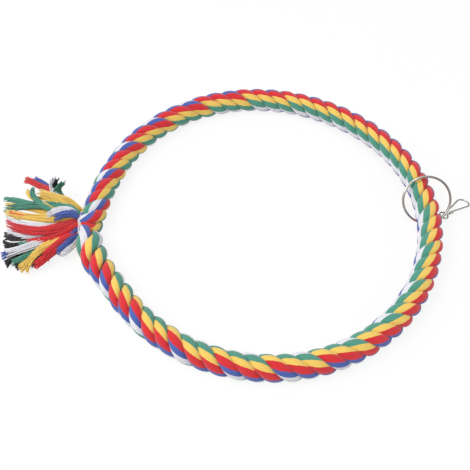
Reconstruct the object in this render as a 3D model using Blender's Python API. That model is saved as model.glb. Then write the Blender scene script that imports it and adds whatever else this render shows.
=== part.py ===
"""Rope ring bird swing, lying on a table.

A length of three-strand laid rope is bent into a hoop. Its two ends meet side by side, a thread
whips them together, and past the whipping each strand is combed out into five coloured yarns.
Opposite the tassel a steel split ring goes round the rope and carries a bent wire clip.
The hoop lies in XY, with +X from the tassel to the split ring. Sizes are in metres.
"""
import math

import bmesh
import bpy
from mathutils import Matrix, Vector

# Rope and hoop
HOOP_DIAMETER = 0.232
ROPE_DIAMETER = 0.0175
STRANDS = 3
LAY_TURNS = 21
STRAND_GAP = 0.0006
REST_FLAT = 0.0009
POINTS_PER_TURN = 10

# Neck, where the two ends turn outwards and are squeezed together
NECK_BEND_RADIUS = 0.009
NECK_STRAND_RADIUS = 0.0020
NECK_TAPER = 0.015
NECK_MARGIN = 0.0012
NECK_STEPS = 7

# Whipping thread round the neck
THREAD_DIAMETER = 0.0009
THREAD_TURNS = 3
THREAD_PITCH = 0.0014
THREAD_POINTS = 24

# Tassel of loose yarns, with each strand end's azimuth and elevation in degrees
YARNS = ("blue", "red", "yellow", "green", "white")
YARN_ROOT_RADIUS = 0.00045
YARN_TIP_RADIUS = 0.0021
YARN_INSET = 0.00035
YARN_STEPS = 5
YARN_LENGTH_STEP = 0.0025
YARN_FAN_SIDEWAYS = math.radians(9)
YARN_FAN_UPWARDS = math.radians(4.5)
YARN_STRAIGHT_SHARE = 0.3
YARN_LOOSENING = 1.5
TASSEL_LENGTHS = (0.051, 0.047, 0.052, 0.046, 0.053, 0.049)
TASSEL_WAYS = ((45, 8), (19, 15.5), (15, 3), (-45, 5), (-17, 15), (-14, 3))

# Split ring, two coils of flattened wire
RING_ROOM = 0.0143
RING_WIRE_WIDTH = 0.0016
RING_WIRE_HEIGHT = 0.0011
RING_WIRE_EDGE = 0.0003
RING_COIL_GAP = 0.00045
RING_STEP_ANGLE = math.radians(34)
RING_STEP_PLACE = math.radians(150)
RING_POINTS = 36
RING_PLACE = math.radians(2.4)
RING_LEAN = math.radians(45)
RING_YAW = math.radians(15)
RING_OUTWARD = 0.0015
RING_UPWARD = 0.0011
RING_LIFT_SPREAD = math.radians(40)
TABLE_GAP = 0.0003

# Wire clip that hangs on the split ring
CLIP_LENGTH = 0.033
CLIP_WIDTH = 0.0100
CLIP_WIRE = 0.0012
CLIP_WAIST_GAP = 0.0008
CLIP_WAIST_BEND = 0.0020
CLIP_LAP = 0.005
CLIP_LAP_GAP = 0.00055
CLIP_PLAY = 0.0009
CLIP_CLIMB = (0.52, 0.94)
CLIP_EYE_STEPS = 10
CLIP_WAIST_STEPS = 4
CLIP_BULB_STEPS = 16
CLIP_ON_RING = math.radians(-34)
CLIP_AZIMUTH = math.radians(36)

SEAT_GAP = 0.0003
WELD_DISTANCE = 1e-6
SHARP_ANGLE = math.radians(40)
COTTON_ROUGHNESS = 0.9
STEEL_ROUGHNESS = 0.25
UP = Vector((0, 0, 1))

COLOURS = {
    "blue": (0.11, 0.17, 0.51, 1),
    "red": (0.74, 0.04, 0.045, 1),
    "yellow": (0.87, 0.61, 0.13, 1),
    "green": (0.07, 0.31, 0.21, 1),
    "white": (0.86, 0.80, 0.88, 1),
    "steel": (0.55, 0.55, 0.57, 1),
}


def material(colour, roughness, metallic=0.0):
    """Give one Principled material for each colour, shared by the pieces that wear it."""
    name = colour + ("_metal" if metallic else "_cotton")
    if name in bpy.data.materials:
        return bpy.data.materials[name]
    made = bpy.data.materials.new(name)
    made.use_nodes = True
    shader = made.node_tree.nodes["Principled BSDF"]
    shader.inputs["Base Color"].default_value = COLOURS[colour]
    shader.inputs["Roughness"].default_value = roughness
    shader.inputs["Metallic"].default_value = metallic
    return made


def add_piece(name, mesh, look, parent, matrix=None):
    """Put a mesh in the scene under a name, on a parent, at a matrix in the parent's space."""
    piece = bpy.data.objects.new(name, mesh)
    bpy.context.collection.objects.link(piece)
    mesh.materials.clear()
    mesh.materials.append(look)
    mesh.shade_smooth()
    mesh.set_sharp_from_angle(angle=SHARP_ANGLE)
    piece.parent = parent
    if matrix:
        piece.matrix_local = matrix
    return piece


def add_empty(name, parent, matrix):
    """Add an empty that carries the pieces of one moving body."""
    empty = bpy.data.objects.new(name, None)
    bpy.context.collection.objects.link(empty)
    empty.parent = parent
    empty.matrix_local = matrix
    return empty


def tube_mesh(name, points, radii):
    """Sweep a six-sided tube along points, with its own radius at each of them."""
    curve = bpy.data.curves.new(name, "CURVE")
    curve.dimensions = "3D"
    curve.bevel_depth = 1.0
    curve.bevel_resolution = 1
    curve.use_fill_caps = True
    spline = curve.splines.new("POLY")
    spline.points.add(len(points) - 1)
    for place, point, radius in zip(spline.points, points, radii):
        place.co = (*point, 1)
        place.radius = radius
    guide = bpy.data.objects.new(name + "_guide", curve)
    mesh = bpy.data.meshes.new_from_object(guide)
    mesh.name = name
    bpy.data.objects.remove(guide)
    weld_caps(mesh)
    return mesh


def weld_caps(mesh):
    """Join the caps to the tube wall and turn every face outwards."""
    shape = bmesh.new()
    shape.from_mesh(mesh)
    bmesh.ops.remove_doubles(shape, verts=shape.verts, dist=WELD_DISTANCE)
    bmesh.ops.recalc_face_normals(shape, faces=shape.faces)
    shape.to_mesh(mesh)
    shape.free()


def cut_flat(mesh):
    """Cut away what lies below the table and close the cuts."""
    shape = bmesh.new()
    shape.from_mesh(mesh)
    everything = list(shape.verts) + list(shape.edges) + list(shape.faces)
    cut = bmesh.ops.bisect_plane(shape, geom=everything, dist=WELD_DISTANCE, plane_co=(0, 0, 0),
                                 plane_no=UP, clear_inner=True)
    rims = [item for item in cut["geom_cut"] if isinstance(item, bmesh.types.BMEdge)]
    bmesh.ops.edgenet_fill(shape, edges=rims)
    bmesh.ops.recalc_face_normals(shape, faces=shape.faces)
    shape.to_mesh(mesh)
    shape.free()


def least_self_gap(points, thickness, neighbours):
    """Measure the least clear distance between stretches of one tube that aren't neighbours."""
    least = math.inf
    for i, one in enumerate(points):
        for other in points[i + neighbours:]:
            least = min(least, (one - other).length)
    return least - thickness


def ease(share):
    """Go from 0 to 1 with a level start and end."""
    share = min(max(share, 0.0), 1.0)
    return share * share * (3 - 2 * share)


def strand_spacing(orbit, lay):
    """Find the least distance between two neighbouring strands that wind at an orbit."""
    least = math.inf
    for degrees in range(181):
        turn = -math.radians(degrees)
        across = 2 * orbit ** 2 * (1 - math.cos(turn + 2 * math.pi / STRANDS))
        along = (lay * turn / (2 * math.pi)) ** 2
        least = min(least, math.sqrt(across + along))
    return least


def strand_sizes(lay):
    """Split the rope's radius into a strand's orbit and its own radius, leaving the gap."""
    low = 0.0
    high = ROPE_DIAMETER / 2
    for _ in range(40):
        orbit = (low + high) / 2
        free = strand_spacing(orbit, lay) - STRAND_GAP - 2 * (ROPE_DIAMETER / 2 - orbit)
        low, high = (low, orbit) if free > 0 else (orbit, high)
    return high, ROPE_DIAMETER / 2 - high


# The rope's course, worked out from the sizes above
HOOP_RADIUS = HOOP_DIAMETER / 2
AXIS_HEIGHT = ROPE_DIAMETER / 2 - REST_FLAT
INNER_LAY = 2 * math.pi * (HOOP_RADIUS - ROPE_DIAMETER / 2) / LAY_TURNS
STRAND_ORBIT, STRAND_RADIUS = strand_sizes(INNER_LAY)
NECK_RUN = THREAD_TURNS * THREAD_PITCH + 2 * NECK_MARGIN
NECK_SHARE = NECK_STRAND_RADIUS / STRAND_RADIUS
NECK_ORBIT = STRAND_ORBIT * NECK_SHARE
NECK_OFFSET = NECK_ORBIT / 2 + NECK_STRAND_RADIUS + STRAND_GAP / 2
BEND_Y = NECK_OFFSET + NECK_BEND_RADIUS
BEND_X = -math.sqrt((HOOP_RADIUS + NECK_BEND_RADIUS) ** 2 - BEND_Y ** 2)
HOOP_END_ANGLE = math.atan2(BEND_Y, BEND_X)
HOOP_RUN = HOOP_RADIUS * HOOP_END_ANGLE
BEND_RUN = NECK_BEND_RADIUS * (HOOP_END_ANGLE - math.pi / 2)
ROPE_END = HOOP_RUN + BEND_RUN + NECK_RUN
NECK_END_X = BEND_X - NECK_RUN

# The split ring's size and height, from the rope that it goes round
RING_RADIUS = (ROPE_DIAMETER + RING_ROOM + RING_WIRE_WIDTH) / 2
RING_STACK = RING_WIRE_HEIGHT + RING_COIL_GAP / 2
RING_REACH = RING_RADIUS + RING_WIRE_WIDTH / 2
RING_HEIGHT = TABLE_GAP + RING_REACH * math.cos(RING_LEAN) + RING_STACK * math.sin(RING_LEAN)
RING_LIFT = RING_HEIGHT - RING_UPWARD - AXIS_HEIGHT


def rope_middle(distance):
    """Give the rope's middle and its outward side at a distance from the +X point."""
    side = math.copysign(1.0, distance)
    gone = abs(distance)
    past_ring = (distance / HOOP_RADIUS - RING_PLACE) / RING_LIFT_SPREAD
    height = AXIS_HEIGHT + RING_LIFT * math.exp(-past_ring ** 2)
    if gone <= HOOP_RUN:
        angle = gone / HOOP_RADIUS
        outward = Vector((math.cos(angle), side * math.sin(angle), 0))
        return outward * HOOP_RADIUS + UP * height, outward
    if gone <= HOOP_RUN + BEND_RUN:
        angle = HOOP_END_ANGLE - (gone - HOOP_RUN) / NECK_BEND_RADIUS
        outward = Vector((math.cos(angle), side * math.sin(angle), 0))
        centre = Vector((BEND_X, side * BEND_Y, height))
        return centre - outward * NECK_BEND_RADIUS, outward
    straight = gone - HOOP_RUN - BEND_RUN
    return Vector((BEND_X - straight, side * NECK_OFFSET, height)), Vector((0, side, 0))


def strand_point(strand, distance):
    """Give a strand's middle and its radius. The strands are laid right-handed on the hoop."""
    middle, outward = rope_middle(distance)
    laid = min(max(distance / HOOP_RUN, -1.0), 1.0)
    angle = 2 * math.pi * strand / STRANDS + math.pi - math.pi * LAY_TURNS * laid
    squeeze = ease((abs(distance) - HOOP_RUN - BEND_RUN / 2) / NECK_TAPER + 1)
    share = 1 + (NECK_SHARE - 1) * squeeze
    aside = outward * math.cos(angle) + UP * math.sin(angle)
    return middle + aside * STRAND_ORBIT * share, STRAND_RADIUS * share


def rope_stations():
    """List the distances at which a strand has a point: even on the hoop, closer in the neck."""
    count = POINTS_PER_TURN * LAY_TURNS
    hoop = [HOOP_RUN * (2 * i / count - 1) for i in range(count + 1)]
    neck = [HOOP_RUN + BEND_RUN * (i + 1) / NECK_STEPS for i in range(NECK_STEPS)]
    neck.append(ROPE_END)
    return [-distance for distance in reversed(neck)] + hoop + neck


def build_strands(parent):
    """Lay the three strands of the rope, flat underneath where they lie on the table."""
    stations = rope_stations()
    for strand, colour in enumerate(("red", "yellow", "green")):
        laid = [strand_point(strand, distance) for distance in stations]
        mesh = tube_mesh("strand", [place for place, _ in laid], [radius for _, radius in laid])
        cut_flat(mesh)
        add_piece(f"rope_strand_{strand + 1}", mesh, material(colour, COTTON_ROUGHNESS), parent)


def neck_strands():
    """List where the six strand ends leave the neck, as (y, z) from the neck's middle."""
    ends = []
    for distance in (ROPE_END, -ROPE_END):
        for strand in range(STRANDS):
            place, _ = strand_point(strand, distance)
            ends.append(Vector((place.y, place.z - AXIS_HEIGHT)))
    return ends


def build_whipping(parent):
    """Wind the thread round the six strand ends, straight from one strand to the next."""
    reach = NECK_STRAND_RADIUS + SEAT_GAP + THREAD_DIAMETER / 2
    ends = neck_strands()
    start = BEND_X - NECK_MARGIN
    points = []
    for step in range(THREAD_TURNS * THREAD_POINTS + 1):
        turns = step / THREAD_POINTS
        way = Vector((math.cos(2 * math.pi * turns), math.sin(2 * math.pi * turns)))
        held = max(ends, key=way.dot) + way * reach
        points.append(Vector((start - THREAD_PITCH * turns, held.x, AXIS_HEIGHT + held.y)))
    gap = least_self_gap(points, THREAD_DIAMETER, THREAD_POINTS // 2)
    print(f"whipping thread: least gap to itself {gap * 1000:.2f} mm")
    mesh = tube_mesh("thread", points, [THREAD_DIAMETER / 2] * len(points))
    add_piece("whipping_thread", mesh, material("white", COTTON_ROUGHNESS), parent)


def yarn_path(root, azimuth, elevation, length):
    """Curve one yarn from its root (y, z) at the neck out to its own way, growing looser."""
    away = Vector((-math.cos(azimuth), math.sin(azimuth), 0)) * math.cos(elevation)
    start = Vector((NECK_END_X - SEAT_GAP, root.x, AXIS_HEIGHT + root.y))
    tip = start + (away + UP * math.sin(elevation)) * length
    knee = start - Vector((length * YARN_STRAIGHT_SHARE, 0, 0))
    points = []
    radii = []
    for step in range(YARN_STEPS + 1):
        gone = step / YARN_STEPS
        points.append(start.lerp(knee, gone).lerp(knee.lerp(tip, gone), gone))
        looser = gone ** YARN_LOOSENING
        radii.append(YARN_ROOT_RADIUS + (YARN_TIP_RADIUS - YARN_ROOT_RADIUS) * looser)
    return points, radii


def build_tassel(parent):
    """Comb out each of the six strand ends into five coloured yarns of uneven length."""
    orbit = NECK_STRAND_RADIUS - YARN_ROOT_RADIUS - YARN_INSET
    ends = zip(neck_strands(), TASSEL_WAYS, TASSEL_LENGTHS)
    for end, (middle, (azimuth, elevation), length) in enumerate(ends):
        for place, colour in enumerate(YARNS):
            turn = 2 * math.pi * (place + end / 2) / len(YARNS)
            aside = Vector((math.cos(turn), math.sin(turn)))
            uneven = YARN_LENGTH_STEP * (2 * place % len(YARNS) - len(YARNS) // 2)
            path = yarn_path(middle + aside * orbit,
                             math.radians(azimuth) + YARN_FAN_SIDEWAYS * aside.x,
                             math.radians(elevation) + YARN_FAN_UPWARDS * aside.y,
                             length + uneven)
            mesh = tube_mesh("yarn", *path)
            add_piece(f"tassel_{end + 1}_{colour}", mesh, material(colour, COTTON_ROUGHNESS), parent)


def ring_frame():
    """Give the split ring's turn: its level side, its rising side and its axis as columns."""
    outward = Vector((math.cos(RING_PLACE), math.sin(RING_PLACE), 0))
    along = Vector((-math.sin(RING_PLACE), math.cos(RING_PLACE), 0))
    level = -along * math.cos(RING_YAW) - outward * math.sin(RING_YAW)
    axis = level * math.cos(RING_LEAN) + UP * math.sin(RING_LEAN)
    side = UP.cross(axis).normalized()
    rise = axis.cross(side)
    return Matrix((side, rise, axis)).transposed()


def coil_height(angle):
    """Give the wire's height on the coil: the lower turn, the step up, and the upper turn."""
    pitch = RING_WIRE_HEIGHT + RING_COIL_GAP
    past_step = (angle - 2 * math.pi) / RING_STEP_ANGLE + 0.5
    return pitch * (ease(past_step) - 0.5)


def ring_mesh():
    """Sweep the flat wire round its two turns, each end stopping short of the step."""
    first = RING_STEP_ANGLE / 2 + RING_COIL_GAP / RING_RADIUS
    last = 4 * math.pi - first
    half_width = RING_WIRE_WIDTH / 2
    half_height = RING_WIRE_HEIGHT / 2
    corner = [(half_width, half_height - RING_WIRE_EDGE), (half_width - RING_WIRE_EDGE, half_height)]
    profile = corner + [(-a, b) for a, b in reversed(corner)]
    profile += [(-a, -b) for a, b in corner] + [(a, -b) for a, b in reversed(corner)]
    shape = bmesh.new()
    loops = []
    middles = []
    count = 2 * RING_POINTS
    for step in range(count + 1):
        angle = first + (last - first) * step / count
        round_ring = angle + RING_STEP_PLACE
        spoke = Vector((math.cos(round_ring), math.sin(round_ring), 0))
        middle = spoke * RING_RADIUS + UP * coil_height(angle)
        middles.append(middle)
        loops.append([shape.verts.new(middle + spoke * a + UP * b) for a, b in profile])
    for one, other in zip(loops, loops[1:]):
        for i in range(len(profile)):
            shape.faces.new((one[i - 1], one[i], other[i], other[i - 1]))
    shape.faces.new(loops[0])
    shape.faces.new(loops[-1])
    bmesh.ops.recalc_face_normals(shape, faces=shape.faces)
    mesh = bpy.data.meshes.new("split_ring")
    shape.to_mesh(mesh)
    shape.free()
    gap = least_self_gap(middles, RING_WIRE_HEIGHT, RING_POINTS // 2)
    print(f"split ring: least gap between its coils {gap * 1000:.2f} mm")
    return mesh


def build_split_ring(parent):
    """Hang the split ring on an empty on the rope's axis, and give that empty and the matrix."""
    hinge, outward = rope_middle(HOOP_RADIUS * RING_PLACE)
    pivot = add_empty("split_ring_pivot", parent, Matrix.Translation(hinge))
    aside = outward * RING_OUTWARD + UP * RING_UPWARD
    place = Matrix.Translation(aside) @ ring_frame().to_4x4()
    add_piece("split_ring", ring_mesh(), material("steel", STEEL_ROUGHNESS, 1.0), pivot, place)
    return pivot, place


def arc(centre, radius, start, end, steps):
    """List the points of an arc in XY from one angle to another."""
    angles = [start + (end - start) * step / steps for step in range(steps + 1)]
    return [centre + Vector((math.cos(angle), math.sin(angle), 0)) * radius for angle in angles]


def clip_outline(eye, bulb, distance):
    """List the clip's wire: lap, waist, eye, waist again, one leg, bulb, other leg and lap again."""
    aside = CLIP_WAIST_BEND + (CLIP_WAIST_GAP + CLIP_WIRE) / 2
    along = math.sqrt((eye + CLIP_WAIST_BEND) ** 2 - aside ** 2)
    waist = Vector((along, aside, 0))
    mouth = math.atan2(aside, along)
    spread = (math.asin((CLIP_WAIST_BEND + bulb) / math.hypot(distance - along, aside))
              - math.atan2(aside, distance - along))
    upper = arc(waist, CLIP_WAIST_BEND, mouth + math.pi, 1.5 * math.pi + spread, CLIP_WAIST_STEPS)
    lower = [Vector((point.x, -point.y, 0)) for point in reversed(upper)]
    inner = arc(Vector(), eye, -mouth, mouth - 2 * math.pi, CLIP_EYE_STEPS)[1:-1]
    half = math.pi / 2 + spread
    outer = arc(Vector((distance, 0, 0)), bulb, half, -half, CLIP_BULB_STEPS)
    leg = (outer[-1] - lower[0]).normalized() * CLIP_LAP
    opening = [lower[0] + leg * share for share in (1, 0.5)]
    closing = [lower[0] + leg * share for share in (1, 0.5, 0)]
    return opening + lower + inner + upper + outer + closing


def build_clip(ring_pivot, ring_place):
    """Hook the wire clip on the split ring, with its wide end resting on the table."""
    eye = math.hypot(RING_WIRE_WIDTH / 2, RING_STACK) + CLIP_PLAY + CLIP_WIRE / 2
    bulb = (CLIP_WIDTH - CLIP_WIRE) / 2
    distance = CLIP_LENGTH - CLIP_WIRE - eye - bulb
    spoke = Vector((math.cos(CLIP_ON_RING), math.sin(CLIP_ON_RING), 0))
    hinge = ring_place @ (spoke * RING_RADIUS)
    climb = CLIP_WIRE + CLIP_LAP_GAP
    reach = distance + bulb
    table = -ring_pivot.location.z
    fall = hinge.z - table - CLIP_WIRE / 2 - TABLE_GAP
    slope = math.asin(fall / math.hypot(reach, climb / 2)) + math.atan(climb / 2 / reach)
    turn = Matrix.Rotation(CLIP_AZIMUTH, 4, "Z") @ Matrix.Rotation(slope, 4, "Y")
    points = clip_outline(eye, bulb, distance)
    first, last = CLIP_CLIMB
    for step, point in enumerate(points):
        point.z = climb * ease((step / (len(points) - 1) - first) / (last - first))
    gap = least_self_gap(points, CLIP_WIRE, CLIP_EYE_STEPS)
    print(f"wire clip: least gap to itself {gap * 1000:.2f} mm")
    mesh = tube_mesh("clip", points, [CLIP_WIRE / 2] * len(points))
    add_piece("wire_clip", mesh, material("steel", STEEL_ROUGHNESS, 1.0), ring_pivot,
              Matrix.Translation(hinge) @ turn)


def centre_on_origin(base):
    """Move the whole swing so that the middle of its box is over the origin."""
    bpy.context.view_layer.update()
    corners = [piece.matrix_world @ vertex.co for piece in bpy.data.objects if piece.type == "MESH"
               for vertex in piece.data.vertices]
    for axis in (0, 1):
        values = [corner[axis] for corner in corners]
        base.location[axis] = -(min(values) + max(values)) / 2


def build_swing():
    """Build every piece of the swing on one empty."""
    base = add_empty("swing", None, Matrix.Identity(4))
    build_strands(base)
    build_whipping(base)
    build_tassel(base)
    ring_pivot, ring_place = build_split_ring(base)
    build_clip(ring_pivot, ring_place)
    centre_on_origin(base)


for old in list(bpy.data.objects):
    bpy.data.objects.remove(old)
build_swing()
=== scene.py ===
"""Looks of the rope ring bird swing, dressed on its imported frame. All sizes are in metres."""
import math
import random

import bmesh
import bpy
from mathutils import Matrix, Vector


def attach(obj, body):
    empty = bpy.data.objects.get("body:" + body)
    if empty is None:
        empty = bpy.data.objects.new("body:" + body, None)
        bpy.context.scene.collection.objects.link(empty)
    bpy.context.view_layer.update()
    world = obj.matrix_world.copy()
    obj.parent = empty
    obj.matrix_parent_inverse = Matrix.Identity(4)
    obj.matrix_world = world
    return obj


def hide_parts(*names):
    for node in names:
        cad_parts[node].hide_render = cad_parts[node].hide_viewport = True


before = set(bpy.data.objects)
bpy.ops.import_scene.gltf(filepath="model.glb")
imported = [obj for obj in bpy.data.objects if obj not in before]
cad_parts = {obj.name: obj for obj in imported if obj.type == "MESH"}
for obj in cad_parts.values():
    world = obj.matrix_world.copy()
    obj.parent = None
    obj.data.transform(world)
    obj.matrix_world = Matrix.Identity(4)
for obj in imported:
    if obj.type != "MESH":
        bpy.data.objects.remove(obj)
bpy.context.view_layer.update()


# Rope hoop
# One length of three-strand cotton rope, laid right-handed and bent into a hoop that lies flat.
# Each strand is twisted from soft yarns of five colours, which run almost along the rope, and its
# ends are pressed together where the thread binds them.
HOOP_MIDDLE = Vector((0.017178, 0.000051, 0))
HOOP_RADIUS = 0.116
STRANDS = 3
LAY_TURNS = 21
STRAND_ORBIT = 0.0052948
STRAND_RADIUS = 0.0034552
STRAND_SIDE = 0.0042
STRAND_FULLNESS = 2.1
STRAND_CORNERS = 28
STRAND_STATIONS = 840
TANGENT_STEP = STRAND_RADIUS / 10
MERGE_DISTANCE = 1e-7
AXIS_HEIGHT = 0.00785
RING_PLACE = math.radians(2.4)
RING_LIFT = 0.004661
RING_LIFT_SPREAD = math.radians(40)
NECK_BEND_RADIUS = 0.009
NECK_RUN = 0.0066
NECK_OFFSET = 0.0038324
NECK_SHARE = 0.5788
WHIP_PLACE = -0.11044
PINCH_RUN = 0.0045
PRESS_DEPTH = 0.0012
NECK_SHIFT = Vector((-0.005, -0.009, 0))
NECK_SHIFT_START = math.radians(150)
NECK_LOOSE = 0.12
STRAND_OVERRUN = 0.0012
UP = Vector((0, 0, 1))

BEND_Y = NECK_OFFSET + NECK_BEND_RADIUS
BEND_X = -math.sqrt((HOOP_RADIUS + NECK_BEND_RADIUS) ** 2 - BEND_Y ** 2)
HOOP_END_ANGLE = math.atan2(BEND_Y, BEND_X)
HOOP_RUN = HOOP_RADIUS * HOOP_END_ANGLE
BEND_RUN = NECK_BEND_RADIUS * (HOOP_END_ANGLE - math.pi / 2)
ROPE_END = HOOP_RUN + BEND_RUN + NECK_RUN
BOUND_RUN = HOOP_RUN + BEND_RUN + HOOP_MIDDLE.x + BEND_X - WHIP_PLACE
STRAND_END = BOUND_RUN + STRAND_OVERRUN

# How far the lay runs ahead of an even one, in degrees round the rope, by hoop angle
LAY_SLIPS = ((-184, -92.5), (-174, -126), (-164, -64), (-157, -30), (-150, -18), (-138, -17), (-114, -33),
             (-78, -59), (-42, -121), (-6, -182), (20, -133), (56, -55), (116, -24), (140, -29), (150, -48),
             (157, -87), (164, -154), (174, -229), (184, -267.5))
# The bands of yarn round a strand, and each one's share of the way round
BANDS = {"yellow": 0.19, "green": 0.215, "white": 0.19, "blue": 0.165, "red": 0.24}
STRAND_YARNS = 30
BAND_TURNS = 2
# Where red meets yellow on each strand, in degrees from the hoop's outer side over the top, by hoop angle
BAND_PLACES = (
    ((-170, 84), (-150, 92), (-114, 56), (-54, 42), (-41, 41), (-6, 59), (20, 100), (44, 111), (68, 103),
     (116, 124), (164, 122), (176, 150)),
    ((-180, 180), (-166, 112), (-138, 116), (-108, 89), (-84, 98), (-42, 65), (-6, 79),
     (32, 109), (80, 98), (128, 117), (166, 103), (180, 143)),
    ((-170, 64), (-138, 70), (-114, 56), (-78, 75), (-41, 66), (-18, 71), (32, 107), (80, 117), (116, 150),
     (160, 159), (171, 190)),
)
# How much more the yarns lean with their strand on the rope's upper side than below, by hoop angle
BAND_EASING = ((-152, -0.03), (-14, 0.03), (14, -0.3), (42, -0.3), (69, -0.17), (97, 0.1), (125, 0.22),
               (152, 0.22), (172, 0.04))
BAND_EASING_SIDE = math.radians(100)


def ease(share):
    """Go from 0 to 1 with a level start and end."""
    share = min(max(share, 0.0), 1.0)
    return share * share * (3 - 2 * share)


def between(marks, at):
    """Read a value off a line through (place, value) marks."""
    for (start, first), (end, last) in zip(marks, marks[1:]):
        if at <= end:
            return first + (last - first) * max((at - start) / (end - start), 0.0)
    return marks[-1][1]


def neck_shift(distance):
    """Give how far the rope lies out of its plain course where its ends come together."""
    gone = abs(distance)
    start = HOOP_RADIUS * NECK_SHIFT_START
    most = HOOP_RUN + BEND_RUN / 2
    rising = ease((gone - start) / (most - start))
    falling = ease((BOUND_RUN - gone) / (BOUND_RUN - most))
    return NECK_SHIFT * rising * falling


def plain_middle(distance):
    """Give the course of the rope on a round hoop with two even bends at its neck."""
    side = math.copysign(1.0, distance)
    gone = abs(distance)
    past_ring = (distance / HOOP_RADIUS - RING_PLACE) / RING_LIFT_SPREAD
    height = AXIS_HEIGHT + RING_LIFT * math.exp(-past_ring ** 2)
    if gone <= HOOP_RUN:
        angle = gone / HOOP_RADIUS
        outward = Vector((math.cos(angle), side * math.sin(angle), 0))
        return HOOP_MIDDLE + outward * HOOP_RADIUS + UP * height, outward
    if gone <= HOOP_RUN + BEND_RUN:
        angle = HOOP_END_ANGLE - (gone - HOOP_RUN) / NECK_BEND_RADIUS
        outward = Vector((math.cos(angle), side * math.sin(angle), 0))
        centre = HOOP_MIDDLE + Vector((BEND_X, side * BEND_Y, height))
        return centre - outward * NECK_BEND_RADIUS, outward
    straight = gone - HOOP_RUN - BEND_RUN
    middle = HOOP_MIDDLE + Vector((BEND_X - straight, side * NECK_OFFSET, height))
    return middle, Vector((0, side, 0))


def rope_middle(distance):
    """Give the rope's middle and its outward side at a distance from the +X point."""
    middle, outward = plain_middle(distance)
    return middle + neck_shift(distance), outward


def strand_angle(strand, distance):
    """Give how far round the rope a strand is, from the outward side over the top."""
    slip = between(LAY_SLIPS, math.degrees(distance / HOOP_RADIUS))
    return 2 * math.pi * (strand / STRANDS + 0.5 - LAY_TURNS * distance / HOOP_RUN / 2) + math.radians(slip)


def squeeze(distance):
    """Give the strands' share of their full size: less in the thread's grip, more on the loose arm."""
    loose = 1.0
    if distance < 0:
        loose += NECK_LOOSE * neck_shift(distance).length / NECK_SHIFT.length
    if abs(distance) < HOOP_RUN:
        return loose
    from_thread = abs(rope_middle(distance)[0].x - WHIP_PLACE)
    return NECK_SHARE + (loose - NECK_SHARE) * ease(from_thread / PINCH_RUN)


def strand_middle(strand, distance):
    """Give a strand's middle and the way to it from the rope's middle."""
    middle, outward = rope_middle(distance)
    angle = strand_angle(strand, distance)
    aside = outward * math.cos(angle) + UP * math.sin(angle)
    return middle + aside * STRAND_ORBIT * squeeze(distance), aside


def pressed(height):
    """Squash what would reach through a flat face: nothing goes below 0, and what is near it bends."""
    if height > PRESS_DEPTH:
        return height
    return PRESS_DEPTH * math.exp(height / PRESS_DEPTH - 1)


def power(value, exponent):
    """Raise a value to a power and keep its sign."""
    return math.copysign(abs(value) ** exponent, value)


def add_tube(shape, around, along, place, pattern):
    """Roll a unit grid up into a closed tube. place and pattern take shares around and along."""
    uv = shape.loops.layers.uv.verify()
    corners = bmesh.ops.create_grid(shape, x_segments=around, y_segments=along, size=0.5,
                                    calc_uvs=True)["verts"]
    faces = {face for corner in corners for face in corner.link_faces}
    for face in faces:
        for loop in face.loops:
            loop[uv].uv = pattern(*loop[uv].uv)
    for corner in corners:
        corner.co = place(corner.co.x + 0.5, corner.co.y + 0.5)
    bmesh.ops.remove_doubles(shape, verts=corners, dist=MERGE_DISTANCE)
    rims = {edge for face in faces for edge in face.edges if edge.is_boundary}
    ends = bmesh.ops.holes_fill(shape, edges=list(rims))["faces"]
    bmesh.ops.recalc_face_normals(shape, faces=list(faces) + ends)


def add_piece(name, shape, looks, body):
    """Make a finished bmesh a smooth-shaded piece that rides on a body."""
    mesh = bpy.data.meshes.new(name)
    shape.to_mesh(mesh)
    shape.free()
    mesh.shade_smooth()
    mesh.materials.append(looks)
    piece = bpy.data.objects.new(name, mesh)
    bpy.context.collection.objects.link(piece)
    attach(piece, body)
    return piece


def strand_skin(strand):
    """Give the two functions that wrap a strand's tube: its points, and its yarns' places."""

    def at(along):
        return STRAND_END * (2 * along - 1)

    def place(around, along):
        distance = at(along)
        middle, aside = strand_middle(strand, distance)
        share = squeeze(distance)
        before = strand_middle(strand, distance - TANGENT_STEP)[0]
        after = strand_middle(strand, distance + TANGENT_STEP)[0]
        across = aside.cross(after - before).normalized()
        turn = 2 * math.pi * (around - 0.5)
        fullness = 2 / STRAND_FULLNESS if math.cos(turn) > 0 else 1
        point = middle + aside * share * STRAND_RADIUS * power(math.cos(turn), fullness)
        point += across * share * STRAND_SIDE * power(math.sin(turn), fullness)
        point.z = pressed(point.z)
        if abs(distance) > HOOP_RUN / 2:
            side = math.copysign(1.0, distance)
            meeting = HOOP_MIDDLE.y + neck_shift(distance).y
            point.y = meeting + side * pressed(side * (point.y - meeting))
        return point

    def pattern(around, along):
        distance = at(along)
        degrees = math.degrees(distance / HOOP_RADIUS)
        angle = strand_angle(strand, distance)
        eased = between(BAND_EASING, degrees) * math.sin(angle - BAND_EASING_SIDE)
        turns = around - 0.5 + (BAND_TURNS * angle - eased) / (2 * math.pi)
        turns -= BAND_TURNS * between(BAND_PLACES[strand], degrees) / 360
        return turns, distance

    return place, pattern


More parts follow.
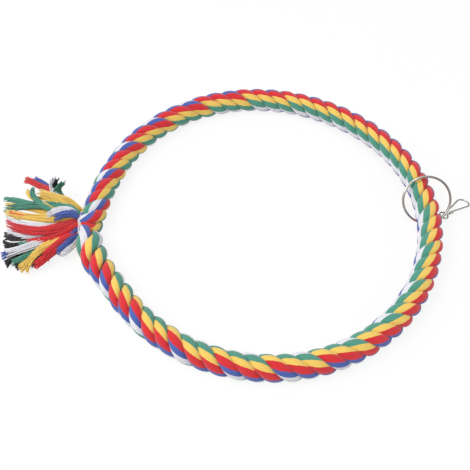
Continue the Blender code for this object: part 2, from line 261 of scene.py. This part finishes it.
class Socket:
    """An output of a shader node, so that shader maths is written as plain arithmetic."""

    def __init__(self, tree, output=None):
        self.tree = tree
        self.output = output

    def node(self, kind, sockets=None, output=0, stops=(), **settings):
        """Add a node: its settings and a ramp's plain bands first, then its sockets' values or links."""
        made = self.tree.nodes.new("ShaderNode" + kind)
        for name, value in settings.items():
            setattr(made, name, value)
        if stops:
            ramp = made.color_ramp
            ramp.interpolation = "CONSTANT"
            while len(ramp.elements) < len(stops):
                ramp.elements.new(1.0)
            for element, (position, colour) in zip(ramp.elements, stops):
                element.position = position
                element.color = colour
        for name, value in (sockets or {}).items():
            if isinstance(value, Socket):
                self.tree.links.new(value.output, made.inputs[name])
            else:
                made.inputs[name].default_value = value
        return Socket(self.tree, made.outputs[output])

    def beside(self, output):
        """Give another output of the same node."""
        return Socket(self.tree, self.output.node.outputs[output])

    def maths(self, operation, one, other=0.0):
        """Add a Math node on one or two values."""
        return self.node("Math", {0: one, 1: other}, operation=operation)

    def __add__(self, other):
        return self.maths("ADD", self, other)

    def __sub__(self, other):
        return self.maths("SUBTRACT", self, other)

    def __rsub__(self, other):
        return self.maths("SUBTRACT", other, self)

    def __mul__(self, other):
        return self.maths("MULTIPLY", self, other)

    __radd__ = __add__
    __rmul__ = __mul__

    def fract(self):
        """Give what is left after the whole number."""
        return self.maths("FRACT", self)

    def arch(self):
        """Turn each whole step of a value into one round arch from 0 to 1 and back."""
        return self.maths("ABSOLUTE", self.maths("SINE", self * math.pi))

    def noise(self, scale, detail=2.0):
        """Read soft noise at this place."""
        return self.node("TexNoise", {"Vector": self, "Scale": scale, "Detail": detail})

    def parts(self):
        """Split a UV place into its share around and its run along."""
        turns = self.node("SeparateXYZ", {0: self})
        return turns, turns.beside(1)

    def bump(self, strength, depth):
        """Turn a height into a bumped normal."""
        return self.node("Bump", {"Strength": strength, "Distance": depth, "Height": self})

    def mix(self, one, other):
        """Mix two colours by this share, through the colour sockets of a Mix node."""
        return self.node("Mix", {0: self, 6: one, 7: other}, output=2, data_type="RGBA")


def dye(red, green, blue):
    """Turn the 0 to 255 values of a colour on screen into the linear ones of shaders, by the sRGB curve."""
    linear = [((c / 255 + 0.055) / 1.055) ** 2.4 if c > 10 else c / 255 / 12.92
              for c in (red, green, blue)]
    return (*linear, 1.0)


def new_material(name, roughness, **fixed):
    """Start a Principled material, and give it, its shader and sockets of its UV and object places."""
    made = bpy.data.materials.new(name)
    made.use_nodes = True
    tree = made.node_tree
    shader = tree.nodes["Principled BSDF"]
    shader.inputs["Roughness"].default_value = roughness
    for socket, value in fixed.items():
        shader.inputs[socket.replace("_", " ")].default_value = value
    uv = Socket(tree).node("TexCoord", output="UV")
    return made, shader, uv, uv.beside("Object")


def join(shader, name, socket):
    """Link a worked-out socket to one of the shader's inputs."""
    socket.tree.links.new(socket.output, shader.inputs[name])


COTTON = {
    "blue": dye(72, 97, 176),
    "red": dye(220, 38, 46),
    "yellow": dye(246, 207, 100),
    "green": dye(77, 151, 130),
    "white": dye(230, 230, 237),
}
COTTON_ROUGHNESS = 0.92
COTTON_SHEEN = 0.25
COTTON_SHADOW = dye(40, 24, 34)
FIBRE_DETAIL = 3.0
BAND_RAGGED = 0.03
BAND_RAGGED_SCALE = 700.0
ROPE_FIBRES_ACROSS = 4.0
ROPE_FIBRES_ALONG = 700.0
ROPE_GROOVE_PAINTED_SHADE = 0.16
ROPE_FIBRE_SHADE = 0.22
ROPE_SHADE_LIFT = 0.05
ROPE_RIDGE_HEIGHT = 0.6
ROPE_FIBRE_HEIGHT = 0.5
ROPE_BUMP_STRENGTH = 0.5
ROPE_BUMP_DEPTH = 0.0004


def rope_cotton():
    """Colour the strands in bands of yarn with fine fibres on them, and darken the groove between yarns
    with painted shade.
    """
    made, shader, uv, where = new_material("rope_cotton", COTTON_ROUGHNESS, Sheen_Weight=COTTON_SHEEN)
    turns, run = uv.parts()
    ragged = where.noise(BAND_RAGGED_SCALE) * BAND_RAGGED - BAND_RAGGED / 2
    stops = []
    start = 0.0
    for band, width in BANDS.items():
        stops.append((start, COTTON[band]))
        start += width
    colour = turns.node("ValToRGB", {0: (turns + ragged).fract()}, stops=stops)
    yarns = turns * STRAND_YARNS
    ridge = yarns.arch()
    stretched = yarns.node("CombineXYZ", {0: yarns * ROPE_FIBRES_ACROSS, 1: run * ROPE_FIBRES_ALONG})
    fibres = stretched.noise(scale=1.0, detail=FIBRE_DETAIL)
    # The groove between yarns is darkened with painted shade; the fibres vary the tone at random.
    shade = (1 - ridge) * ROPE_GROOVE_PAINTED_SHADE + (1 - fibres) * ROPE_FIBRE_SHADE - ROPE_SHADE_LIFT
    join(shader, "Base Color", shade.mix(colour, COTTON_SHADOW))
    height = ridge * ROPE_RIDGE_HEIGHT + fibres * ROPE_FIBRE_HEIGHT
    join(shader, "Normal", height.bump(ROPE_BUMP_STRENGTH, ROPE_BUMP_DEPTH))
    return made


rope_shape = bmesh.new()
for strand in range(STRANDS):
    add_tube(rope_shape, STRAND_CORNERS, STRAND_STATIONS, *strand_skin(strand))
rope = add_piece("laid_rope", rope_shape, rope_cotton(), "hoop")
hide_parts("rope_strand_1", "rope_strand_2", "rope_strand_3")


# Whipping
# A thin white cotton thread of two plies, wound tight round the two rope ends where they lie side by
# side. It holds the hoop closed and keeps the strands from coming apart.
WHIP_TURNS = 3
WHIP_PITCH = 0.00052
WHIP_THREAD = 0.00056
WHIP_STEPS = 48
WHIP_CORNERS = 10
WHIP_PROUD = 0.0008
WHIP_SLANT = 0.14
WHIP_PLIES = 2
WHIP_PLY_TWIST = 0.0016
WHIP_SHEEN = 0.2
WHIP_SHADOW = dye(176, 170, 180)
WHIP_GROOVE_PAINTED_SHADE = 0.35
WHIP_FIBRE_SCALE = 2600.0
WHIP_FIBRE_HEIGHT = 0.4
WHIP_BUMP_STRENGTH = 0.8
WHIP_BUMP_DEPTH = 0.0002


def runs_along(points):
    """Give the distance along a row of points at each of them."""
    runs = [0.0]
    for one, other in zip(points, points[1:]):
        runs.append(runs[-1] + (other - one).length)
    return runs


def wire_skin(points, radii):
    """Wrap a tube round a row of points, and lay its pattern by share around and run along."""
    ways = [(after - before).normalized()
            for before, after in zip([points[0]] + points[:-1], points[1:] + [points[-1]])]
    sides = [ways[0].orthogonal().normalized()]
    for way in ways[1:]:
        sides.append((sides[-1] - way * sides[-1].dot(way)).normalized())
    runs = runs_along(points)

    def place(around, along):
        step = round(along * (len(points) - 1))
        turn = 2 * math.pi * around
        rise = ways[step].cross(sides[step])
        return points[step] + (sides[step] * math.cos(turn) + rise * math.sin(turn)) * radii[step]

    def pattern(around, along):
        return around, runs[round(along * (len(points) - 1))]

    return place, pattern


def strand_ends(share):
    """List the six strand ends at the neck: arm by arm, the outer one, the top one and the low one."""
    ends = []
    for distance in (ROPE_END, -ROPE_END):
        middle, outward = rope_middle(distance)
        for place in range(STRANDS):
            angle = 2 * math.pi * place / STRANDS
            aside = outward * math.cos(angle) + UP * math.sin(angle)
            ends.append(middle + aside * STRAND_ORBIT * share)
    return ends


def thread_cotton():
    """Make white thread: painted shade in the slanting groove between its plies, and a few stray fibres."""
    made, shader, uv, where = new_material("thread_cotton", COTTON_ROUGHNESS, Sheen_Weight=WHIP_SHEEN)
    turns, run = uv.parts()
    plies = (turns * WHIP_PLIES + run * (1 / WHIP_PLY_TWIST)).arch()
    fibres = where.noise(WHIP_FIBRE_SCALE)
    # The groove between the plies is darkened with painted shade.
    shade = (1 - plies) * WHIP_GROOVE_PAINTED_SHADE
    join(shader, "Base Color", shade.mix(COTTON["white"], WHIP_SHADOW))
    height = plies + fibres * WHIP_FIBRE_HEIGHT
    join(shader, "Normal", height.bump(WHIP_BUMP_STRENGTH, WHIP_BUMP_DEPTH))
    return made


held_ends = strand_ends(NECK_SHARE)
winding = []
for step in range(WHIP_TURNS * WHIP_STEPS + 1):
    turns = step / WHIP_STEPS
    way = Vector((0, math.cos(2 * math.pi * turns), math.sin(2 * math.pi * turns)))
    held = max(held_ends, key=way.dot) + way * (STRAND_SIDE * NECK_SHARE + WHIP_PROUD)
    held.x = WHIP_PLACE + WHIP_PITCH * (WHIP_TURNS / 2 - turns) + WHIP_SLANT * held.y
    winding.append(held)
whip_shape = bmesh.new()
add_tube(whip_shape, WHIP_CORNERS, len(winding) - 1,
         *wire_skin(winding, [WHIP_THREAD / 2] * len(winding)))
whipping = add_piece("whipping", whip_shape, thread_cotton(), "hoop")
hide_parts("whipping_thread")


# Tassel
# Past the whipping the six strand ends are combed out into locks of their five colours of cotton
# yarn, with the dark core yarns in each strand's middle. The cut tips are uneven and frayed.
LOCK_THREADS = 40
CORE_THREADS = 20
THREAD_SIDES = 4
THREAD_STEPS = 8
THREAD_RADII = (0.00030, 0.00042, 0.00046, 0.00046, 0.00044, 0.00042, 0.00040, 0.00036, 0.00026)
CORE_RADII = (0.00020, 0.00025, 0.00028, 0.00030, 0.00032, 0.00036, 0.00044, 0.00062, 0.00050)
LOCK_WIDTHS = ((0.0, 0.0009), (0.14, 0.0025), (0.32, 0.0031), (0.6, 0.0024), (0.85, 0.0026),
               (1.0, 0.0032))
CORE_WIDTHS = ((0.0, 0.0005), (0.7, 0.0009), (0.9, 0.0020), (1.0, 0.0034))
LOCK_FLATNESS = 0.75
LOCK_ORBIT = 0.0010
LOCK_FAN = 10
LOCK_TWIST = 0.8
LOCK_WAVE = 0.0006
LOCK_WAVE_RATE = 7
LOCK_LOW = 0.0003
LOCK_ENDS = (0.86, 1.03)
GOLDEN_ANGLE = math.pi * (3 - math.sqrt(5))
TASSEL_SEED = 11
MM = 0.001
# Where each lock's middle and tip lie, in mm out from the thread, to the +Y side and up from the table,
# and how full it is: strand end by strand end, and last a stray bundle that leaves the second end's locks
LOCKS = (
    {"yellow": ((15, 17, 13), (31, 24, 12), 1.5), "red": ((23, 28, 9), (42, 40, 9), 0.9),
     "blue": ((24, 31, 8), (36, 40, 9), 0.9), "white": ((18, 23, 9), (20, 34, 17), 1),
     "green": ((17, 24, 8), (13, 28, 18), 1.2), "core": ((18, 23, 8), (18, 31, 17), 1)},
    {"green": ((17, 12, 13), (54, 15, 8), 1.1), "white": ((10, 6, 16), (23, 3, 14), 1),
     "blue": ((7, 3, 16), (18, 0, 14), 1), "red": ((25, -8, 12), (51, 1, 9), 1.2),
     "yellow": ((28, 3, 12), (53, 12, 8), 1), "core": ((24, -8, 7), (52, -9, 7), 1)},
    {"green": ((30, 15, 10), (55, 23, 9), 0.6), "white": ((29, -3, 10), (53, 6, 8), 1),
     "blue": ((22, 0, 5), (44, -4, 4), 1), "red": ((30, 4, 11), (50, 11, 9), 0.6),
     "yellow": ((29, 12, 8), (54, 19, 8), 0.7), "core": ((36, -8, 4), (52, -6, 6), 1)},
    {"yellow": ((26, -21, 8), (36, -35, 5), 1), "red": ((15, -19, 10), (23, -27, 7), 1.1),
     "blue": ((10, -19, 10), (17, -23, 7), 1), "white": ((8, -21, 8), (15, -24, 6), 1),
     "green": ((20, -19, 5), (34, -30, 4), 1), "core": ((33, -21, 4), (42, -33, 4), 1)},
    {"red": ((16, -11, 10), (36, -15, 7), 1), "white": ((33, -8, 8), (51, -3, 6), 1.2),
     "yellow": ((28, -4, 8), (52, 9, 7), 1), "blue": ((10, -13, 9), (26, -15, 6), 0.8),
     "green": ((24, -13, 8), (42, -14, 5), 0.7), "core": ((36, -11, 4), (52, -14, 6), 1)},
    {"white": ((30, -16, 8), (50, -22, 6), 1.1), "blue": ((30, -14, 6), (53, -23, 5), 1),
     "green": ((26, -18, 5), (46, -29, 4), 1), "red": ((19, -23, 7), (31, -32, 4), 1),
     "yellow": ((26, -22, 5), (40, -34, 4), 1), "core": ((36, -18, 4), (49, -30, 4), 1)},
    {"green": ((27, 13, 14), (34, 25, 17), 0.8), "yellow": ((27, 14, 14), (38, 24, 16), 0.6)},
)
STRAY_END = 1
COTTON["core"] = dye(38, 36, 40)
YARN_PLIES = 2
YARN_TWISTS = 420.0
YARN_UV_SHARE = 0.98
YARN_FIBRE_SCALE = 2200.0
YARN_OWN_SHADE = 0.1
YARN_TWIST_PAINTED_SHADE = 0.1
YARN_FIBRE_SHADE = 0.12
YARN_SHADE_LIFT = 0.05
YARN_TWIST_HEIGHT = 0.6
YARN_FIBRE_HEIGHT = 0.6
YARN_BUMP_STRENGTH = 0.6
YARN_BUMP_DEPTH = 0.0002
ROUTE_STEPS = 120


def lock_point(out, aside, up):
    """Turn a place on the tassel, in mm from the thread, into a point."""
    return Vector((WHIP_PLACE - out * MM, HOOP_MIDDLE.y + aside * MM, up * MM))


def lock_route(root, middle, tip):
    """Give the function that runs along a lock from its root through its middle to its tip."""
    knee = middle * 2 - (root + tip) / 2
    across = UP.cross(tip - root).normalized()

    def at(share):
        return root.lerp(knee, share).lerp(knee.lerp(tip, share), share), across

    return at


def lock_threads(dice, route, fullness, count, widths, radii):
    """Spread a lock's threads over its thickness and give each one's points."""
    for number in range(count):
        spread = math.sqrt((number + 0.5) / count)
        start = number * GOLDEN_ANGLE
        end = dice.uniform(*LOCK_ENDS)
        phase = dice.uniform(0, 2 * math.pi)
        points = []
        for step in range(THREAD_STEPS + 1):
            share = end * step / THREAD_STEPS
            middle, across = route(min(share, 1.0))
            thickness = between(widths, min(share, 1.0)) * spread * fullness
            turn = start + LOCK_TWIST * share
            wave = LOCK_WAVE * share * math.sin(LOCK_WAVE_RATE * share + phase)
            point = middle + across * (thickness * math.cos(turn) + wave)
            point += UP * thickness * LOCK_FLATNESS * math.sin(turn)
            point.z = max(point.z, radii[step] + LOCK_LOW)
            points.append(point)
        yield points


def yarn_cotton(colour):
    """Dye loose yarn: every thread a shade of its own, painted shade in the groove of its twist, and fibres
    on it.
    """
    made, shader, uv, where = new_material(f"yarn_{colour}", COTTON_ROUGHNESS, Sheen_Weight=COTTON_SHEEN)
    turns, run = uv.parts()
    own = turns.node("TexWhiteNoise", {"W": turns.maths("FLOOR", turns)}, noise_dimensions="1D")
    twist = (turns * YARN_PLIES + run * YARN_TWISTS).arch()
    fibres = where.noise(YARN_FIBRE_SCALE, FIBRE_DETAIL)
    # The groove of the twist is darkened with painted shade; the thread's own tone and the fibres vary at
    # random.
    shade = own * YARN_OWN_SHADE + (1 - twist) * YARN_TWIST_PAINTED_SHADE
    shade += (1 - fibres) * YARN_FIBRE_SHADE - YARN_SHADE_LIFT
    join(shader, "Base Color", shade.mix(COTTON[colour], COTTON_SHADOW))
    height = twist * YARN_TWIST_HEIGHT + fibres * YARN_FIBRE_HEIGHT
    join(shader, "Normal", height.bump(YARN_BUMP_STRENGTH, YARN_BUMP_DEPTH))
    return made


dice = random.Random(TASSEL_SEED)
for place, colour in enumerate((*BANDS, "core")):
    lock_shape = bmesh.new()
    serial = 0
    core = colour == "core"
    count = CORE_THREADS if core else LOCK_THREADS
    widths = CORE_WIDTHS if core else LOCK_WIDTHS
    radii = CORE_RADII if core else THREAD_RADII
    for end, (held, ways) in enumerate(zip(held_ends + [held_ends[STRAY_END]], LOCKS)):
        if colour not in ways:
            continue
        turn = 2 * math.pi * (place / len(BANDS) + end / LOCK_FAN)
        aside = Vector((0, math.cos(turn), math.sin(turn)))
        root = held + aside * (0.0 if core else LOCK_ORBIT)
        root.x = WHIP_PLACE + WHIP_SLANT * root.y
        middle, tip, fullness = ways[colour]
        route = lock_route(root, lock_point(*middle), lock_point(*tip))
        for points in lock_threads(dice, route, fullness, count, widths, radii):
            skin, pattern = wire_skin(points, radii)
            add_tube(lock_shape, THREAD_SIDES, THREAD_STEPS, skin,
                     lambda around, along: (serial + YARN_UV_SHARE * around, pattern(around, along)[1]))
            serial += 1
    piece = add_piece(f"tassel_{colour}", lock_shape, yarn_cotton(colour), "hoop")
    if not core:
        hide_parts(*[f"tassel_{end + 1}_{colour}" for end in range(len(held_ends))])

# Points along the rope's middle from end to end, and the length of that line
rope_route = [rope_middle(ROPE_END * (2 * step / ROUTE_STEPS - 1))[0] for step in range(ROUTE_STEPS + 1)]
rope_length = runs_along(rope_route)[-1]
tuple(rope_route[0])


# Split ring
# Two close coils of flattened spring wire, nickel plated and polished, which step past each other at
# one place. It goes round the rope and turns freely on it.
RING_RADIUS = 0.0167
RING_HALF_WIDTH = 0.0008
RING_HALF_HEIGHT = 0.00055
RING_SQUARENESS = 2.2
RING_COIL_GAP = 0.00045
RING_STEP_ANGLE = math.radians(34)
RING_STEP_PLACE = math.radians(150)
RING_LEAN = math.radians(45)
RING_YAW = math.radians(15)
RING_OUTWARD = 0.0015
RING_UPWARD = 0.0011
RING_TURNS = 2
RING_STEPS = 360
RING_CORNERS = 20
RING_FIRST = RING_STEP_ANGLE / 2 + RING_COIL_GAP / RING_RADIUS
RING_COLOUR = dye(196, 192, 186)
RING_ROUGHNESS = 0.2
RING_LINES = 40.0
DRAWN_SCALE = 60.0
DRAWN_DETAIL = 4.0
DRAWN_ROUGHNESS = 0.12
DRAWN_BUMP_STRENGTH = 0.12
DRAWN_BUMP_DEPTH = 0.0001
CLOUD_SCALE = 180.0
CLOUD_DETAIL = 3.0
CLOUD_ROUGHNESS = 0.14

ring_hinge, ring_outward = rope_middle(HOOP_RADIUS * RING_PLACE)
ring_along = UP.cross(ring_outward)
ring_level = -ring_along * math.cos(RING_YAW) - ring_outward * math.sin(RING_YAW)
ring_axis = ring_level * math.cos(RING_LEAN) + UP * math.sin(RING_LEAN)
ring_side = UP.cross(ring_axis).normalized()
ring_turn = Matrix((ring_side, ring_axis.cross(ring_side), ring_axis)).transposed()
ring_place = (Matrix.Translation(ring_hinge + ring_outward * RING_OUTWARD + UP * RING_UPWARD)
              @ ring_turn.to_4x4())


def coil_place(around, along):
    """Give a point of the flat wire: two level turns with one step up between them."""
    angle = RING_FIRST + (2 * math.pi * RING_TURNS - 2 * RING_FIRST) * along
    pitch = 2 * RING_HALF_HEIGHT + RING_COIL_GAP
    height = pitch * (ease((angle - 2 * math.pi) / RING_STEP_ANGLE + 0.5) - 0.5)
    spoke = Vector((math.cos(angle + RING_STEP_PLACE), math.sin(angle + RING_STEP_PLACE), 0))
    turn = 2 * math.pi * around
    out = RING_HALF_WIDTH * power(math.cos(turn), 2 / RING_SQUARENESS)
    rise = RING_HALF_HEIGHT * power(math.sin(turn), 2 / RING_SQUARENESS)
    return ring_place @ (spoke * (RING_RADIUS + out) + UP * (height + rise))


def polished_steel(name, colour, roughness, lines):
    """Plate a wire: fine drawn lines along it, and cloudy patches where it is a little duller."""
    made, shader, uv, where = new_material(name, roughness, Metallic=1.0, Base_Color=colour)
    turns, run = uv.parts()
    stretched = turns.node("CombineXYZ", {0: turns * lines, 1: run * DRAWN_SCALE})
    drawn = stretched.noise(scale=1.0, detail=DRAWN_DETAIL)
    clouds = where.noise(CLOUD_SCALE, CLOUD_DETAIL)
    least = roughness - (DRAWN_ROUGHNESS + CLOUD_ROUGHNESS) / 2
    join(shader, "Roughness", drawn * DRAWN_ROUGHNESS + clouds * CLOUD_ROUGHNESS + least)
    join(shader, "Normal", drawn.bump(DRAWN_BUMP_STRENGTH, DRAWN_BUMP_DEPTH))
    return made


ring_shape = bmesh.new()
add_tube(ring_shape, RING_CORNERS, RING_STEPS, coil_place,
         lambda around, along: (around, along * 2 * math.pi * RING_TURNS * RING_RADIUS))
ring_nickel = polished_steel("ring_nickel", RING_COLOUR, RING_ROUGHNESS, RING_LINES)
split_ring = add_piece("split_ring_coil", ring_shape, ring_nickel, "split_ring")
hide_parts("split_ring")


# Wire clip
# One piece of spring steel wire bent into a pear: a small eye round both coils of the split ring, a
# waist beside the eye, two straight legs and a round end that hooks over a cage bar. The two ends of the
# wire lie one over the other on one leg, next to the waist.
CLIP_WIRE = 0.0012
CLIP_EYE = 0.0030478
CLIP_BULB = 0.0044
CLIP_LENGTH = 0.033
CLIP_LAP = 0.005
CLIP_WAIST_GAP = 0.0008
CLIP_WAIST_BEND = 0.0020
CLIP_LAP_GAP = 0.00055
CLIP_CLIMB = (0.56, 0.75)
CLIP_ON_RING = math.radians(-34)
CLIP_AZIMUTH = math.radians(36)
CLIP_STEPS = 24
CLIP_LEG_STEPS = 12
CLIP_CORNERS = 16
CLIP_COLOUR = dye(182, 180, 174)
CLIP_ROUGHNESS = 0.3
CLIP_LINES = 30.0
TABLE_GAP = 0.0003

clip_reach = CLIP_LENGTH - CLIP_WIRE - CLIP_EYE
clip_middle = clip_reach - CLIP_BULB
clip_hinge = ring_place @ Vector((RING_RADIUS * math.cos(CLIP_ON_RING),
                                  RING_RADIUS * math.sin(CLIP_ON_RING), 0))
clip_rise = CLIP_WIRE + CLIP_LAP_GAP
clip_fall = clip_hinge.z - CLIP_WIRE / 2 - TABLE_GAP
clip_slope = (math.asin(clip_fall / math.hypot(clip_reach, clip_rise / 2))
              + math.atan(clip_rise / 2 / clip_reach))
clip_place = (Matrix.Translation(clip_hinge) @ Matrix.Rotation(CLIP_AZIMUTH, 4, "Z")
              @ Matrix.Rotation(clip_slope, 4, "Y"))


def arc(centre, radius, start, end):
    """List the points of an arc in XY from one angle to another."""
    angles = [start + (end - start) * step / CLIP_STEPS for step in range(CLIP_STEPS + 1)]
    return [centre + Vector((math.cos(angle), math.sin(angle), 0)) * radius for angle in angles]


def clip_wire():
    """List the clip's wire: lap, waist, eye, waist again, one leg, bulb, other leg and lap again."""
    aside = CLIP_WAIST_BEND + (CLIP_WAIST_GAP + CLIP_WIRE) / 2
    along = math.sqrt((CLIP_EYE + CLIP_WAIST_BEND) ** 2 - aside ** 2)
    mouth = math.atan2(aside, along)
    spread = (math.asin((CLIP_WAIST_BEND + CLIP_BULB) / math.hypot(clip_middle - along, aside))
              - math.atan2(aside, clip_middle - along))
    upper = arc(Vector((along, aside, 0)), CLIP_WAIST_BEND, mouth + math.pi, 1.5 * math.pi + spread)
    lower = [Vector((point.x, -point.y, 0)) for point in reversed(upper)]
    eye = arc(Vector(), CLIP_EYE, -mouth, mouth - 2 * math.pi)[1:-1]
    bulb = arc(Vector((clip_middle, 0, 0)), CLIP_BULB, math.pi / 2 + spread, -math.pi / 2 - spread)
    lap = lower[0] + (bulb[-1] - lower[0]).normalized() * CLIP_LAP
    opening = [lap.lerp(lower[0], step / CLIP_LEG_STEPS) for step in range(CLIP_LEG_STEPS)]
    leg = [upper[-1].lerp(bulb[0], step / CLIP_LEG_STEPS) for step in range(1, CLIP_LEG_STEPS)]
    closing = [bulb[-1].lerp(lower[0], step / CLIP_LEG_STEPS) for step in range(1, CLIP_LEG_STEPS + 1)]
    points = opening + lower + eye + upper + leg + bulb + closing
    runs = runs_along(points)
    first, last = CLIP_CLIMB
    for point, run in zip(points, runs):
        point.z = clip_rise * ease((run / runs[-1] - first) / (last - first))
    return [clip_place @ point for point in points]


wire = clip_wire()
clip_shape = bmesh.new()
add_tube(clip_shape, CLIP_CORNERS, len(wire) - 1, *wire_skin(wire, [CLIP_WIRE / 2] * len(wire)))
clip_steel = polished_steel("clip_steel", CLIP_COLOUR, CLIP_ROUGHNESS, CLIP_LINES)
clip = add_piece("clip_wire", clip_shape, clip_steel, "clip")
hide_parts("wire_clip")


# Table, light and camera
# A plain pale table under soft studio light, seen from where the photograph was taken. The table looks
# white and keeps the swing's shadow. The sky is brighter on one side, so that the steel has contrast.
FLOOR_SIZE = 3.0
FLOOR_COLOUR = (0.9, 0.9, 0.9, 1)
FLOOR_ROUGHNESS = 1.0
FLOOR_GLOW = 0.85
SKY_COLOUR = (1, 1, 1, 1)
SKY_LEVEL = 0.3
SKY_BRIGHT_WAY = (-0.6, 0.35, 0.72)
KEY_LIGHT = {"place": (-0.6, -0.2, 1.1), "size": 0.9, "watts": 9.8}
FILL_LIGHT = {"place": (0.9, -0.45, 0.35), "size": 0.8, "watts": 2.5}
CAMERA_PLACE = Vector((-0.04008, -0.2945, 0.40875))
CAMERA_AIM = Vector((-0.00472, -0.01567, 0.00875))
CAMERA_ROLL = math.radians(3.683)
CAMERA_LENS = 54.13
CAMERA_SENSOR = 36.0
CAMERA_NEAR = 0.01

floor_shape = bmesh.new()
bmesh.ops.create_grid(floor_shape, x_segments=1, y_segments=1, size=FLOOR_SIZE)
floor_mesh = bpy.data.meshes.new("table_top")
floor_shape.to_mesh(floor_mesh)
floor_shape.free()
floor = bpy.data.objects.new("table_top", floor_mesh)
bpy.context.collection.objects.link(floor)

pale, surface, *_ = new_material("pale_table", FLOOR_ROUGHNESS, Base_Color=FLOOR_COLOUR,
                                 Specular_IOR_Level=0.0)
tree = pale.node_tree
seen = Socket(tree).node("LightPath", output="Is Camera Ray")
shown = seen + seen.beside("Is Glossy Ray") + seen.beside("Is Transmission Ray")
share = shown.maths("MINIMUM", shown, 1.0) * FLOOR_GLOW
lit = Socket(tree, surface.outputs["BSDF"])
white = share.node("MixShader", {0: share, 1: lit, 2: share.node("Emission")})
join(tree.nodes["Material Output"], "Surface", white)
floor_mesh.materials.append(pale)

world = bpy.data.worlds.new("studio")
world.use_nodes = True
sky = world.node_tree
backdrop = sky.nodes["Background"]
backdrop.inputs["Color"].default_value = SKY_COLOUR
facing = Socket(sky).node("TexCoord", output="Generated")
toward = facing.node("VectorMath", {0: facing, 1: SKY_BRIGHT_WAY}, output="Value", operation="DOT_PRODUCT")
toward = toward.maths("MAXIMUM", toward, 0.0)
join(backdrop, "Strength", toward * toward + SKY_LEVEL)
bpy.context.scene.world = world


def add_softbox(name, place, size, watts):
    """Hang a large square lamp that points at the swing."""
    lamp = bpy.data.lights.new(name, "AREA")
    lamp.size = size
    lamp.energy = watts
    holder = bpy.data.objects.new(name, lamp)
    holder.location = place
    holder.rotation_euler = (-Vector(place)).to_track_quat("-Z", "Y").to_euler()
    bpy.context.collection.objects.link(holder)


add_softbox("key_light", **KEY_LIGHT)
add_softbox("fill_light", **FILL_LIGHT)

camera = bpy.data.objects.new("camera", bpy.data.cameras.new("camera"))
camera.data.lens = CAMERA_LENS
camera.data.sensor_width = CAMERA_SENSOR
camera.data.clip_start = CAMERA_NEAR
look = (CAMERA_AIM - CAMERA_PLACE).to_track_quat("-Z", "Y").to_matrix()
turn = Matrix.Rotation(CAMERA_ROLL, 3, "Z")
camera.matrix_world = Matrix.Translation(CAMERA_PLACE) @ (look @ turn).to_4x4()
bpy.context.collection.objects.link(camera)
bpy.context.scene.camera = camera
bpy.context.scene.view_settings.view_transform = "Standard"
